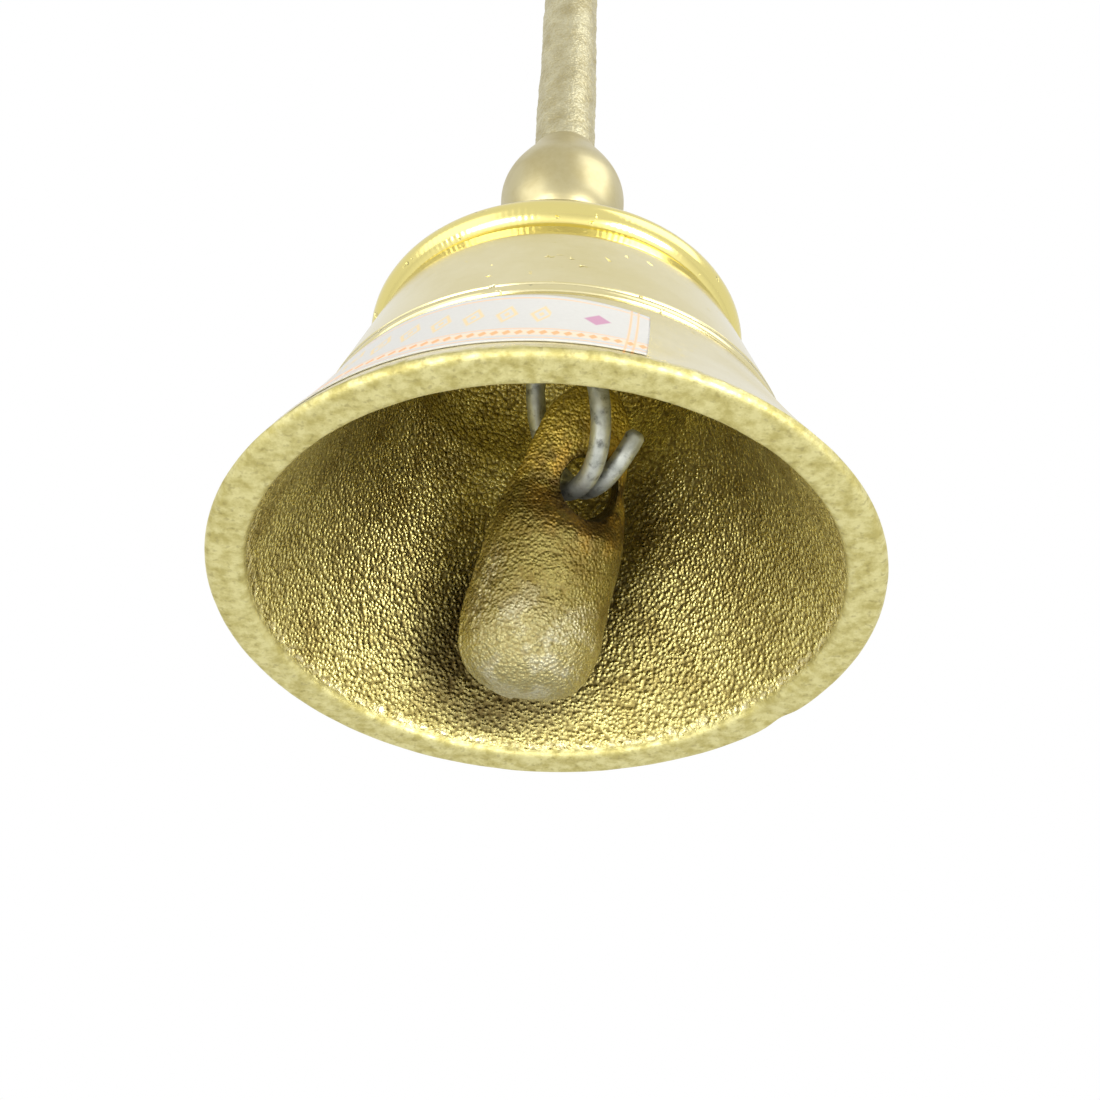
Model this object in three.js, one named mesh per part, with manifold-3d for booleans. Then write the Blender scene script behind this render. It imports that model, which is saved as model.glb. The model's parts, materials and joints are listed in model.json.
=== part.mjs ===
// Brass puja bell: a turned bell with a screwed-on handle, and a clapper hung on a wire ring.
//
// Millimetres, +Z up. The origin is on the bell's axis, in the plane of the lip that it stands on.
// The clapper is stored leaning towards +Y, where it rests when the mouth is tipped towards -Y.

import * as THREE from 'three';
import { mergeVertices } from 'three/addons/utils/BufferGeometryUtils.js';
import Module from 'manifold-3d';

const wasm = await Module();
wasm.setup();

// ---------------------------------------------------------------- driving dimensions

const seatGap = 0.3;           // left between pieces that touch
const boltPlay = 0.3;          // around the eye bolt in every hole that it passes

// Bell
const mouthRadius = 33;
const lipWidth = 4;
const lipRound = 0.8;
const wall = 3.1;              // measured level, above the lip
const grooveHeight = 17.1;
const grooveRadius = 24.3;
const flareHollow = 0.4;       // how far the flare bows in from a straight cone
const fineGrooveWidth = 0.5;
const fineGrooveDepth = 0.35;
const fineGrooveLand = 0.5;    // between the two grooves
const drumHeight = 31.7;       // where the drum meets the shoulder
const drumRadius = 19.6;
const shoulderRadius = 20.3;
const shoulderBead = 1.9;      // radius of the bead's round
const undercut = 0.6;
const crownHeight = 47.1;
const crownWall = 2.5;
const crownSeatRadius = 7.4;

// Handle and its collar
const collarHeight = 20;
const collarBaseRadius = 7;
const collarNeckRadius = 4.6;
const collarKnobRadius = 7.3;
const stemRadius = 3.6;
const stemLength = 44.5;
const stemTaper = 0.4;         // taken off the radius along the stem
const budLength = 24;
const budRadius = 6.4;
const budBeadRadius = 4.9;

// Eye bolt, nut and washer
const boltRadius = 2;
const boltGrip = 17.5;         // length inside the handle
const eyeWireRadius = 1;
const eyeRadius = 3.6;         // to the middle of the eye's wire
const eyeYaw = 16;             // degrees, turned about the bolt
const nutAcrossFlats = 7;
const nutHeight = 2.4;
const washerRadius = 5.2;
const washerThickness = 0.6;

// Wire ring
const wireRadius = 1.1;
const ringHeight = 17.2;       // from the eye's middle to the clapper's hole, along the ring
const ringWidth = 14;
const ringPitch = 2.35;        // sideways, for each turn of the wire
const ringShift = -0.3;        // of the whole wire, sideways
const ringTail = 62;           // degrees of wire in front, before its first pass through the hole
const ringEnd = 22;            // degrees of wire behind, after its second pass
const ringTailSplay = 2.6;     // how far the tail's cut end is bent aside
const ringYaw = 32;            // degrees, turned about its own length

// Clapper
const lugLength = 11.6;        // above the hole's middle
const lugRadius = 6;
const lugThickness = 4;
const bulbLength = 24;         // below the hole's middle
const bulbRadius = 8;
const bulbThickness = 11.4;
const holeOffset = 1.4;        // the hole is drilled off the clapper's middle line, towards +X
const holePlay = 0.75;         // around the two wires in the clapper's hole

// How the ring and the clapper lie, in degrees
const clapperLean = 32;        // away from the bell's axis, towards +Y
const ringTilt = 12.9;         // the ring's foot is off to +X
const clapperTilt = 13.4;      // the clapper's foot hangs back towards -X
const clapperYaw = 20;         // turned about its own length

// Paper label
const labelThickness = 0.12;
const labelLift = 0.1;         // between the brass and the paper
const labelLow = 2.6;
const labelHigh = 15.4;
const labelStart = -76;        // degrees from -Y, positive towards +X
const labelEnd = 19;

// How the outlines curve. Rises and drops are measured up and down, insets towards the axis.
const crown = { insideFlat: 1, insideDrop: 1, drumInset: 0.1, drumRise: 0.3, inset: 3, drop: 4 };
const collarFoot = { height: 1.2, round: 0.4 };
const collarNeck = { at: 0.24, rise: 1.5 };             // at: as a share of the collar's height
const collarKnob = { at: 0.58, rise: 3, pull: 5.2, drop: 3, step: 0.4 };
const bead = { middle: 1.6, height: 3.2 };              // the ring bead at the stem's top
const bud = { foot: 4.5, neck: 1, swell: 1.2, swellAt: 8, tipRadius: 1.4, tipDrop: 2, waistDrop: 5 };
const bulb = { foot: 0.8, footRise: 3.4, widest: 8.5, neck: 0.96, neckDrop: 6.5 };
const shoulder = { width: 0.9, drop: 2.5, lugRise: 0.5 };
const lug = { width: 0.92, at: 4.5, pull: 0.86, pullAt: 8.4, tip: 0.5 };

// ---------------------------------------------------------------- sizes that follow

const boltHoleRadius = boltRadius + boltPlay;
const crownInside = crownHeight - crownWall;
const washerLow = crownInside - seatGap - washerThickness;
const nutLow = washerLow - seatGap - nutHeight;
const eyeHeight = nutLow - seatGap - eyeWireRadius - eyeRadius;
const collarLow = crownHeight + seatGap;
const collarTop = collarLow + collarHeight;
const stemLow = collarTop + seatGap;
const stemTop = stemLow + stemLength;
const lathe = { body: 64, small: 36, curve: 4 };
const round = { shank: 24, hole: 32, eyeWire: 12, wire: 6, wireSteps: 56, nutHole: 12, labelRows: 8 };

// ---------------------------------------------------------------- helpers

const radians = THREE.MathUtils.degToRad;

/** Outline of (radius, height) points, run anticlockwise: up the outside, down the inside. */
function outlineFrom(radius, height) {
  const outline = new THREE.Path();
  outline.moveTo(radius, height);
  return outline;
}

function turned(outline, segments) {
  const geometry = new THREE.LatheGeometry(outline.getPoints(lathe.curve), segments);
  return geometry.rotateX(Math.PI / 2);
}

/** A closed mesh as a manifold solid: corners merged, and the flat slivers on the axis dropped. */
function solidOf(geometry) {
  const bare = geometry.clone();
  bare.deleteAttribute('normal');
  bare.deleteAttribute('uv');
  const merged = mergeVertices(bare, 1e-4);
  const index = merged.index.array;
  const corners = [];
  for (let i = 0; i < index.length; i += 3) {
    const [a, b, c] = index.slice(i, i + 3);
    if (a !== b && b !== c && c !== a) corners.push(a, b, c);
  }
  return new wasm.Manifold(new wasm.Mesh({
    numProp: 3,
    vertProperties: merged.attributes.position.array,
    triVerts: new Uint32Array(corners),
  }));
}

function geometryOf(solid) {
  const { vertProperties, triVerts } = solid.getMesh();
  const geometry = new THREE.BufferGeometry();
  geometry.setAttribute('position', new THREE.BufferAttribute(vertProperties, 3));
  geometry.setIndex(new THREE.BufferAttribute(triVerts, 1));
  geometry.computeVertexNormals();
  return geometry;
}

function piece(name, geometry, material) {
  const mesh = new THREE.Mesh(geometry, material);
  mesh.name = name;
  return mesh;
}

const metal = (color, roughness) => new THREE.MeshStandardMaterial({ color, roughness, metalness: 1 });

// ---------------------------------------------------------------- bell

/** Radius of the outside between the lip and the grooves, bowed in from a straight cone. */
function flareRadius(height) {
  const along = (height - lipRound) / (grooveHeight - lipRound);
  const straight = THREE.MathUtils.lerp(mouthRadius, grooveRadius, along);
  return straight - 4 * flareHollow * along * (1 - along);
}

/** The flare as the quadratic curve that bows in by flareHollow, shifted inwards by an inset. */
function flareControl(inset) {
  const middle = (mouthRadius + grooveRadius) / 2 - 2 * flareHollow;
  return [middle - inset, (lipRound + grooveHeight) / 2];
}

function addFineGroove(outline, radius, low) {
  outline.lineTo(radius, low);
  outline.lineTo(radius - fineGrooveDepth, low + fineGrooveWidth / 2);
  outline.lineTo(radius, low + fineGrooveWidth);
}

function bellBody() {
  const lipInside = mouthRadius - lipWidth;
  const grooveSpan = 2 * fineGrooveWidth + fineGrooveLand;
  const beadMiddle = drumHeight + undercut + shoulderBead;
  const beadFoot = shoulderRadius - shoulderBead;
  const outline = outlineFrom(boltHoleRadius, crownInside);

  // Inside: down from the crown, over the flare, to the lip.
  outline.lineTo(washerRadius + crown.insideFlat, crownInside);
  const drumInside = drumRadius - wall;
  outline.quadraticCurveTo(drumInside, crownInside - crown.insideDrop, drumInside, drumHeight);
  outline.lineTo(grooveRadius - wall, grooveHeight);
  outline.quadraticCurveTo(...flareControl(wall), lipInside, lipRound);
  outline.absarc(lipInside + lipRound, lipRound, lipRound, Math.PI, 1.5 * Math.PI, false);

  // Outside: lip, flare, double groove, drum.
  outline.absarc(mouthRadius - lipRound, lipRound, lipRound, 1.5 * Math.PI, 2 * Math.PI, false);
  outline.quadraticCurveTo(...flareControl(0), grooveRadius, grooveHeight);
  addFineGroove(outline, grooveRadius, grooveHeight);
  addFineGroove(outline, grooveRadius, grooveHeight + fineGrooveWidth + fineGrooveLand);
  outline.lineTo(grooveRadius - crown.drumInset, grooveHeight + grooveSpan + crown.drumRise);

  // Shoulder: undercut, bead, and the crown up to the collar's seat.
  outline.lineTo(drumRadius, drumHeight);
  outline.lineTo(beadFoot, drumHeight + undercut);
  outline.absarc(beadFoot, beadMiddle, shoulderBead, -0.5 * Math.PI, 0.5 * Math.PI, false);
  const crownPull = [beadFoot - crown.inset, crownHeight - crown.drop];
  outline.quadraticCurveTo(...crownPull, crownSeatRadius, crownHeight);
  outline.lineTo(boltHoleRadius, crownHeight);
  outline.closePath();
  return turned(outline, lathe.body);
}

// ---------------------------------------------------------------- collar and handle

function handleCollar() {
  const knobHeight = collarLow + collarKnob.at * collarHeight;
  const neckHeight = collarLow + collarNeck.at * collarHeight;
  const footTop = collarLow + collarFoot.height;
  const outline = outlineFrom(boltHoleRadius, collarLow);
  outline.lineTo(collarBaseRadius, collarLow);
  outline.lineTo(collarBaseRadius, footTop);
  const neckPull = [collarNeckRadius, footTop + collarFoot.round];
  outline.quadraticCurveTo(...neckPull, collarNeckRadius, neckHeight);
  const knobPull = [collarKnobRadius, neckHeight + collarNeck.rise];
  outline.quadraticCurveTo(...knobPull, collarKnobRadius, knobHeight);
  const lowPull = [collarKnobRadius, knobHeight + collarKnob.rise];
  const highPull = [collarKnob.pull, collarTop - collarKnob.drop];
  outline.bezierCurveTo(...lowPull, ...highPull, stemRadius + collarKnob.step, collarTop);
  outline.lineTo(boltHoleRadius, collarTop);
  outline.closePath();
  return turned(outline, lathe.small);
}

function handle() {
  const topRadius = stemRadius - stemTaper;
  const boreTop = stemLow + boltGrip + 2 * boltPlay;
  const budLow = stemTop + bud.foot;
  const budTop = stemTop + budLength;
  const outline = outlineFrom(0, boreTop);
  outline.lineTo(boltHoleRadius, boreTop);
  outline.lineTo(boltHoleRadius, stemLow);
  outline.lineTo(stemRadius, stemLow);
  outline.lineTo(topRadius, stemTop);

  // Finial: a ring bead, a short neck and a closed bud.
  outline.quadraticCurveTo(budBeadRadius, stemTop, budBeadRadius, stemTop + bead.middle);
  outline.quadraticCurveTo(budBeadRadius, stemTop + bead.height, topRadius, budLow - bud.neck);
  outline.lineTo(topRadius, budLow);
  const budPulls = [budRadius, budLow + bud.neck, budRadius + bud.swell, budLow + bud.swellAt];
  outline.bezierCurveTo(...budPulls, budRadius / 2, budTop - bud.waistDrop);
  outline.quadraticCurveTo(bud.tipRadius, budTop - bud.tipDrop, 0, budTop);
  return turned(outline, lathe.small);
}

// ---------------------------------------------------------------- eye bolt, nut, washer

function eyeBolt() {
  const shankTop = stemLow + boltGrip;
  const shankLow = eyeHeight + eyeRadius;
  const shank = new THREE.CylinderGeometry(boltRadius, boltRadius, shankTop - shankLow, round.shank);
  shank.rotateX(Math.PI / 2);
  shank.translate(0, 0, (shankTop + shankLow) / 2);
  const eye = new THREE.TorusGeometry(eyeRadius, eyeWireRadius, round.eyeWire, round.hole);
  eye.rotateX(Math.PI / 2);
  eye.rotateZ(radians(eyeYaw));
  eye.translate(0, 0, eyeHeight);
  return geometryOf(solidOf(shank).add(solidOf(eye)));
}

function crownNut() {
  const cornerRadius = nutAcrossFlats / Math.sqrt(3);
  const outline = new THREE.Shape();
  for (let side = 0; side < 6; side += 1) {
    const angle = side * Math.PI / 3;
    const corner = [cornerRadius * Math.cos(angle), cornerRadius * Math.sin(angle)];
    if (side === 0) outline.moveTo(...corner);
    else outline.lineTo(...corner);
  }
  outline.closePath();
  const hole = new THREE.Path();
  hole.absarc(0, 0, boltHoleRadius, 0, 2 * Math.PI, true);
  outline.holes.push(hole);
  const nut = new THREE.ExtrudeGeometry(outline, {
    depth: nutHeight,
    bevelEnabled: false,
    curveSegments: round.nutHole,
  });
  return nut.translate(0, 0, nutLow);
}

function crownWasher() {
  const outline = outlineFrom(boltHoleRadius, washerLow);
  outline.lineTo(washerRadius, washerLow);
  outline.lineTo(washerRadius, washerLow + washerThickness);
  outline.lineTo(boltHoleRadius, washerLow + washerThickness);
  outline.closePath();
  return turned(outline, lathe.small);
}

// ---------------------------------------------------------------- wire ring

/**
 * Middle line of the wire. Its own frame has the eye at the origin and the clapper's hole straight
 * below. The wire starts at the tail's cut end in front, dips through the hole, rises behind, passes
 * the eye, comes down in front and goes through the hole again. It steps sideways as it turns.
 */
class RingPath extends THREE.Curve {
  getPoint(along, target = new THREE.Vector3()) {
    const fullTurn = 2 * Math.PI;
    const start = -radians(ringTail);
    const angle = THREE.MathUtils.lerp(start, fullTurn + radians(ringEnd), along);
    const bend = Math.max(0, angle / start);
    const step = ringPitch * (0.5 - angle / fullTurn);
    const side = ringShift + step + ringTailSplay * bend * bend;
    const depth = ringWidth / 2 * Math.sin(angle);
    const height = -ringHeight / 2 * (1 + Math.cos(angle));
    return target.set(side, depth, height);
  }
}

function wireRing() {
  const section = new THREE.Shape();
  section.absarc(0, 0, wireRadius, 0, 2 * Math.PI, false);
  const wire = new THREE.ExtrudeGeometry(section, {
    extrudePath: new RingPath(),
    steps: round.wireSteps,
    curveSegments: round.wire,
    bevelEnabled: false,
  });
  return wire.rotateZ(radians(ringYaw));
}

// ---------------------------------------------------------------- clapper

/** Thickness over width: thin at the lug, full at the bulb, and smooth between them. */
function clapperFlatness(height) {
  const flatLug = lugThickness / (2 * lugRadius);
  const fullBulb = bulbThickness / (2 * bulbRadius);
  const along = THREE.MathUtils.smoothstep(height, -lugRadius, -shoulder.lugRise);
  return THREE.MathUtils.lerp(fullBulb, flatLug, along);
}

function clapper() {
  const outline = outlineFrom(0, -bulbLength);
  const bulbPulls = [bulb.foot * bulbRadius, -bulbLength, bulbRadius, bulb.footRise - bulbLength];
  outline.bezierCurveTo(...bulbPulls, bulbRadius, bulb.widest - bulbLength);
  outline.lineTo(bulb.neck * bulbRadius, -bulb.neckDrop);
  outline.quadraticCurveTo(shoulder.width * bulbRadius, -shoulder.drop, lugRadius, shoulder.lugRise);
  outline.lineTo(lug.width * lugRadius, lug.at);
  const lugPulls = [lug.pull * lugRadius, lug.pullAt, lug.tip * lugRadius, lugLength];
  outline.bezierCurveTo(...lugPulls, 0, lugLength);
  const body = turned(outline, lathe.small);

  const position = body.attributes.position;
  for (let i = 0; i < position.count; i += 1) {
    position.setY(i, position.getY(i) * clapperFlatness(position.getZ(i)));
  }

  const slant = radians(ringYaw - clapperYaw);
  const wiresReach = ringPitch / 2 + wireRadius / Math.cos(slant);
  const holeRadius = wiresReach + lugThickness / 2 * Math.tan(slant) + holePlay;
  const drill = new THREE.CylinderGeometry(holeRadius, holeRadius, 2 * bulbThickness, round.hole);
  body.translate(-holeOffset, 0, 0);
  return geometryOf(solidOf(body).subtract(solidOf(drill)).rotate([0, 0, clapperYaw]));
}

// ---------------------------------------------------------------- paper label

/** A thin coat over the flare, cut to the label's length by a wedge from the axis. */
function paperLabel() {
  const steps = round.labelRows;
  const coat = outlineFrom(flareRadius(labelLow) + labelLift, labelLow);
  const outer = labelLift + labelThickness;
  for (let i = 0; i <= steps; i += 1) {
    const height = THREE.MathUtils.lerp(labelLow, labelHigh, i / steps);
    coat.lineTo(flareRadius(height) + outer, height);
  }
  for (let i = steps; i >= 0; i -= 1) {
    const height = THREE.MathUtils.lerp(labelLow, labelHigh, i / steps);
    coat.lineTo(flareRadius(height) + labelLift, height);
  }
  const reach = 1.5 * mouthRadius;
  const [start, end] = [radians(labelStart - 90), radians(labelEnd - 90)];
  const sector = new THREE.Shape();
  sector.moveTo(0, 0);
  sector.lineTo(reach * Math.cos(start), reach * Math.sin(start));
  sector.absarc(0, 0, reach, start, end, false);
  sector.closePath();
  const wedge = new THREE.ExtrudeGeometry(sector, { depth: grooveHeight, bevelEnabled: false });
  return geometryOf(solidOf(turned(coat, lathe.body)).intersect(solidOf(wedge)));
}

// ---------------------------------------------------------------- assembly

const polishedBrass = metal(0xd9cf94, 0.2);
const castBrass = metal(0xb6a766, 0.55);
const darkBrass = metal(0x96852f, 0.6);
const zincSteel = metal(0xa3a8a2, 0.4);
const plainSteel = metal(0x8a8a86, 0.45);
const paper = new THREE.MeshStandardMaterial({ color: 0xf5f3ee, roughness: 0.8, metalness: 0 });

const bell = new THREE.Group();
bell.add(piece('bell_body', bellBody(), polishedBrass));
bell.add(piece('handle_collar', handleCollar(), polishedBrass.clone()));
bell.add(piece('handle', handle(), castBrass));
bell.add(piece('eye_bolt', eyeBolt(), plainSteel));
bell.add(piece('crown_nut', crownNut(), plainSteel.clone()));
bell.add(piece('crown_washer', crownWasher(), plainSteel.clone()));
bell.add(piece('paper_label', paperLabel(), paper));

// The ring hangs in the eye, and the clapper hangs on the ring: one group inside the other.
const ringGroup = new THREE.Group();
ringGroup.position.set(0, 0, eyeHeight);
ringGroup.rotation.set(radians(clapperLean), -radians(ringTilt), 0);
ringGroup.add(piece('wire_ring', wireRing(), zincSteel));

const clapperGroup = new THREE.Group();
clapperGroup.position.set(0, 0, -ringHeight);
clapperGroup.rotation.y = radians(ringTilt + clapperTilt);
clapperGroup.add(piece('clapper', clapper(), darkBrass));
ringGroup.add(clapperGroup);
bell.add(ringGroup);

export default bell;
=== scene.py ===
# %% [markdown]
# # A brass puja bell
#
# A puja bell is a small hand bell rung in worship. The bell itself is cast in sand, and only its
# outside is turned and polished on a lathe. The inside, the handle and the clapper keep the grain
# of the sand. This lesson builds each piece as a surface worked out with numpy, then gives it a
# finish made of nodes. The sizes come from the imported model, which stays as it is.

# %% Load the frame
import json
import math

import bpy
import numpy as np
from mathutils import Matrix, Vector


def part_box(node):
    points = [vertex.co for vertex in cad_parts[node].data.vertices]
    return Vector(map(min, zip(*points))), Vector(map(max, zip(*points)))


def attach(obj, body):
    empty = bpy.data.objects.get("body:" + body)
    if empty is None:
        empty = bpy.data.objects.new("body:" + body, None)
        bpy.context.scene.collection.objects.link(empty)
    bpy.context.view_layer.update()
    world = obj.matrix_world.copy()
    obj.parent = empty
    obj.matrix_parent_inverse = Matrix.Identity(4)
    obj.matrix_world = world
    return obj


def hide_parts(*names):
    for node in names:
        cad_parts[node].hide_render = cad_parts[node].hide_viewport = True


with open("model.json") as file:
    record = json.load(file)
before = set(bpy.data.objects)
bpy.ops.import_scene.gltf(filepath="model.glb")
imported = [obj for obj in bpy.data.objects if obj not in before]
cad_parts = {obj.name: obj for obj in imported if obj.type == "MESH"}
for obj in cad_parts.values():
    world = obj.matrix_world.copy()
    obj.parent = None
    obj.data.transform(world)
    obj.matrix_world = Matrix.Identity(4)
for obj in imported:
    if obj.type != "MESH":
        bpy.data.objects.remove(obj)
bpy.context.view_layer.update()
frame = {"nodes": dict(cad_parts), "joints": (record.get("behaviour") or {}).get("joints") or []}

# %% [markdown]
# ## Sizes
#
# Everything is in metres. What can be read off the frame is read off it, such as the mouth's radius
# and the crown's height. The heights of the groove and the shoulder are the design's own numbers.

# %% Sizes from the frame
MM = 0.001
crown_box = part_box("bell_body")[1]
mouth_radius = crown_box.x
crown_height = crown_box.z
collar_low, collar_top = (corner.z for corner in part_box("handle_collar"))
knob_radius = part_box("handle_collar")[1].x
stem_low, bud_top = (corner.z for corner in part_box("handle"))
label_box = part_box("paper_label")

lip_width = 4 * MM
lip_round = 0.8 * MM
wall = 3.1 * MM
groove_height = 17.1 * MM
groove_radius = 24.3 * MM
drum_height = 31.7 * MM
drum_radius = 19.6 * MM
shoulder_radius = 20.3 * MM
bead_radius = 1.9 * MM
undercut = 0.6 * MM
crown_wall = 2.5 * MM
bolt_hole_radius = 2.3 * MM
print("mouth radius", round(mouth_radius, 4), "crown height", round(crown_height, 4))

# %% [markdown]
# ## Curves for outlines
#
# A turned piece is an outline of (radius, height) points swung round the axis. Three helpers give
# straight, bowed and round stretches. Each leaves out its last point, so that stretches can be
# strung together without doubled points.


# %% Outline stretches
def straight(start, end, count):
    """Points spaced evenly from start towards end."""
    t = np.linspace(0, 1, count, endpoint=False)[:, None]
    return (1 - t) * np.array(start) + t * np.array(end)


def bow(start, pull, end, count):
    """Quadratic curve: start and end blended through the pull point as (1-t)^2, 2t(1-t) and t^2."""
    t = np.linspace(0, 1, count, endpoint=False)[:, None]
    return (1 - t) ** 2 * np.array(start) + 2 * t * (1 - t) * np.array(pull) + t**2 * np.array(end)


def swing(start, pull_a, pull_b, end, count):
    """Cubic curve: four points blended with the weights of a cubic Bezier curve."""
    t = np.linspace(0, 1, count, endpoint=False)[:, None]
    s = 1 - t
    near = s**3 * np.array(start) + 3 * s**2 * t * np.array(pull_a)
    return near + 3 * s * t**2 * np.array(pull_b) + t**3 * np.array(end)


def arc(middle, radius, start, end, count):
    """Points on a circle, from one angle in degrees towards another."""
    angle = np.radians(np.linspace(start, end, count, endpoint=False))
    return np.stack([middle[0] + radius * np.cos(angle), middle[1] + radius * np.sin(angle)], axis=1)


def outline_normals(outline, closed):
    """Unit normals of an anticlockwise outline: its direction turned a quarter clockwise."""
    if closed:
        along = np.roll(outline, -1, axis=0) - np.roll(outline, 1, axis=0)
    else:
        along = np.gradient(outline, axis=0)
    along /= np.maximum(np.linalg.norm(along, axis=1, keepdims=True), 1e-12)
    return np.stack([along[:, 1], -along[:, 0]], axis=1)


# %% [markdown]
# ## Surfaces
#
# A grid of points becomes a mesh by joining each point to the next one round and the next row up.
# The rows close on themselves for a ring, or gather to a point at each end of a rod.


# %% From a grid to a mesh
def skin(name, grid, ends):
    """Mesh of a grid (rows, around, 3), closed around. ends is "joined", or "capped" with a fan."""
    rows, around = grid.shape[:2]
    index = np.arange(rows * around).reshape(rows, around)
    beside = np.roll(index, -1, axis=1)
    last = rows if ends == "joined" else rows - 1
    above = np.roll(index, -1, axis=0)[:last]
    above_beside = np.roll(beside, -1, axis=0)[:last]
    quads = np.stack([index[:last], beside[:last], above_beside, above], axis=-1).reshape(-1, 4)
    points = grid.reshape(-1, 3)
    faces = quads.tolist()
    if ends == "capped":
        low, high = len(points), len(points) + 1
        points = np.vstack([points, grid[0].mean(0), grid[-1].mean(0)])
        faces += np.stack([beside[0], index[0], np.full(around, low)], axis=-1).tolist()
        faces += np.stack([index[-1], beside[-1], np.full(around, high)], axis=-1).tolist()
    mesh = bpy.data.meshes.new(name)
    mesh.from_pydata(points, [], faces)
    mesh.polygons.foreach_set("use_smooth", np.ones(len(mesh.polygons), bool))
    mesh.update()
    piece = bpy.data.objects.new(name, mesh)
    bpy.context.scene.collection.objects.link(piece)
    return piece


def turn(outline, around):
    """Grid (rows, around, 3): each outline point swung round the axis, and the angles used."""
    angle = np.linspace(0, 2 * np.pi, around, endpoint=False)
    radius, height = outline[:, :1], outline[:, 1:]
    flat = np.ones_like(angle)
    return np.stack([radius * np.cos(angle), radius * np.sin(angle), height * flat], axis=-1), angle


def turned_normals(normals, angle):
    """Outline normals swung round the axis in the same way."""
    out, up = normals[:, :1], normals[:, 1:]
    return np.stack([out * np.cos(angle), out * np.sin(angle), up * np.ones_like(angle)], axis=-1)


def note(piece):
    """Prints what a piece is made of and how large it came out."""
    corners = np.array([vertex[:] for vertex in piece.bound_box])
    size = np.round((corners.max(0) - corners.min(0)) / MM, 1)
    print(piece.name, len(piece.data.polygons), "faces", size, "mm")


# %% [markdown]
# ## Grain worked out with numpy
#
# Sand leaves rounded grains in the metal, with slow swells under them. Both are noise that depends
# only on the place in space. A large sine gives each corner of a lattice a repeatable number, so no
# random generator is needed. Swells blend the numbers of a cell's eight corners. Grains scatter one
# point in each cell, and rise towards the nearest point.


# %% Swells and grains
def lattice_number(cell, seed):
    """Number from 0 to 1 for each lattice corner: the fraction left by a large sine."""
    mixed = cell @ np.array([127.1, 311.7, 74.7]) + 53.3 * seed
    return np.modf(np.abs(np.sin(mixed)) * 43758.5453)[0]


def swells(points, size, seed):
    """Smooth height from -1 to 1: corner numbers blended across cells of the given size."""
    place = points.reshape(-1, 3) / size
    cell = np.floor(place)
    ease = place - cell
    ease = ease * ease * (3 - 2 * ease)
    total = np.zeros(len(place))
    for corner in np.ndindex(2, 2, 2):
        corner = np.array(corner)
        weight = np.where(corner, ease, 1 - ease).prod(axis=1)
        total += weight * lattice_number(cell + corner, seed)
    return (2 * total - 1).reshape(points.shape[:-1])


def grains(points, size, seed):
    """Rounded grains from 0 to 1: one minus the distance, in cells, to the nearest scattered point."""
    place = points.reshape(-1, 3) / size
    cell = np.floor(place)
    nearest = np.full(len(place), 4.0)
    for step in np.ndindex(3, 3, 3):
        near = cell + np.array(step) - 1
        spot = near + np.stack([lattice_number(near, seed + k) for k in range(3)], axis=1)
        nearest = np.minimum(nearest, ((place - spot) ** 2).sum(axis=1))
    return (1 - np.clip(np.sqrt(nearest), 0, 1)).reshape(points.shape[:-1])


# %% [markdown]
# ## Bell
#
# The outline runs down the inside, round the lip and up the outside. Only the inside and the lip get
# grain, so a weight is kept for each outline point: how much of it is cast, and how much is lip. The
# same weights go into the mesh as attributes, and the finish reads them later. The lip also has a
# small nick where it was once knocked. Inside, where the clapper lies, a deep brown band is painted
# as shade, in place of the clapper's shadow and dark reflection on the wall.

# %% Bell outline
lip_inside = mouth_radius - lip_width
flare_pull = ((mouth_radius + groove_radius) / 2 - 0.8 * MM, (lip_round + groove_height) / 2)
inner_pull = (flare_pull[0] - wall, flare_pull[1])
crown_inside = crown_height - crown_wall
bead_foot = shoulder_radius - bead_radius
bead_middle = drum_height + undercut + bead_radius


def fine_groove(radius, low):
    """A rounded groove: its depth is a sine over its width, raised to 1.5 so its edges are eased."""
    t = np.linspace(0, 1, 9, endpoint=False)[:, None]
    depth = 0.18 * MM * np.sin(np.pi * t) ** 1.5
    return np.hstack([radius - depth, low + 0.36 * MM * t])


inside = np.vstack([
    straight((bolt_hole_radius, crown_inside), (6.2 * MM, crown_inside), 4),
    bow((6.2 * MM, crown_inside), (drum_radius - wall, crown_inside - MM),
        (drum_radius - wall, drum_height), 36),
    straight((drum_radius - wall, drum_height), (groove_radius - wall, groove_height), 34),
    bow((groove_radius - wall, groove_height), inner_pull, (lip_inside, lip_round), 38),
])
lip = np.vstack([
    arc((lip_inside + lip_round, lip_round), lip_round, 180, 270, 4),
    straight((lip_inside + lip_round, 0), (mouth_radius - lip_round, 0), 8),
])
outside = np.vstack([
    arc((mouth_radius - lip_round, lip_round), lip_round, 270, 360, 5),
    bow((mouth_radius, lip_round), flare_pull, (groove_radius, groove_height - 0.1 * MM), 20),
    fine_groove(groove_radius, groove_height - 0.1 * MM),
    fine_groove(groove_radius, groove_height + 0.9 * MM),
    straight((groove_radius - 0.1 * MM, groove_height + 1.4 * MM), (drum_radius, drum_height), 6),
    swing((drum_radius, drum_height), (drum_radius - 0.8 * MM, drum_height + 0.1 * MM),
          (bead_foot, drum_height + undercut), (bead_foot, drum_height + undercut), 5),
    arc((bead_foot, bead_middle), bead_radius, -90, 90, 14),
    bow((bead_foot, bead_middle + bead_radius), (bead_foot - 3 * MM, crown_height - 4 * MM),
        (7.4 * MM, crown_height), 10),
    straight((7.4 * MM, crown_height), (bolt_hole_radius, crown_height), 3),
])
bell_outline = np.vstack([inside, lip, outside])
is_cast = np.concatenate([np.ones(len(inside)), np.zeros(len(lip) + len(outside))])
outer_lip = np.where(outside[:, 1] < lip_round + 0.7 * MM, 1.0, 0.0)
is_lip = np.concatenate([np.zeros(len(inside)), np.ones(len(lip)), outer_lip])
above_drum = (bell_outline[:, 1] > drum_height) & (bell_outline[:, 1] < bead_middle + bead_radius)
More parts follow.
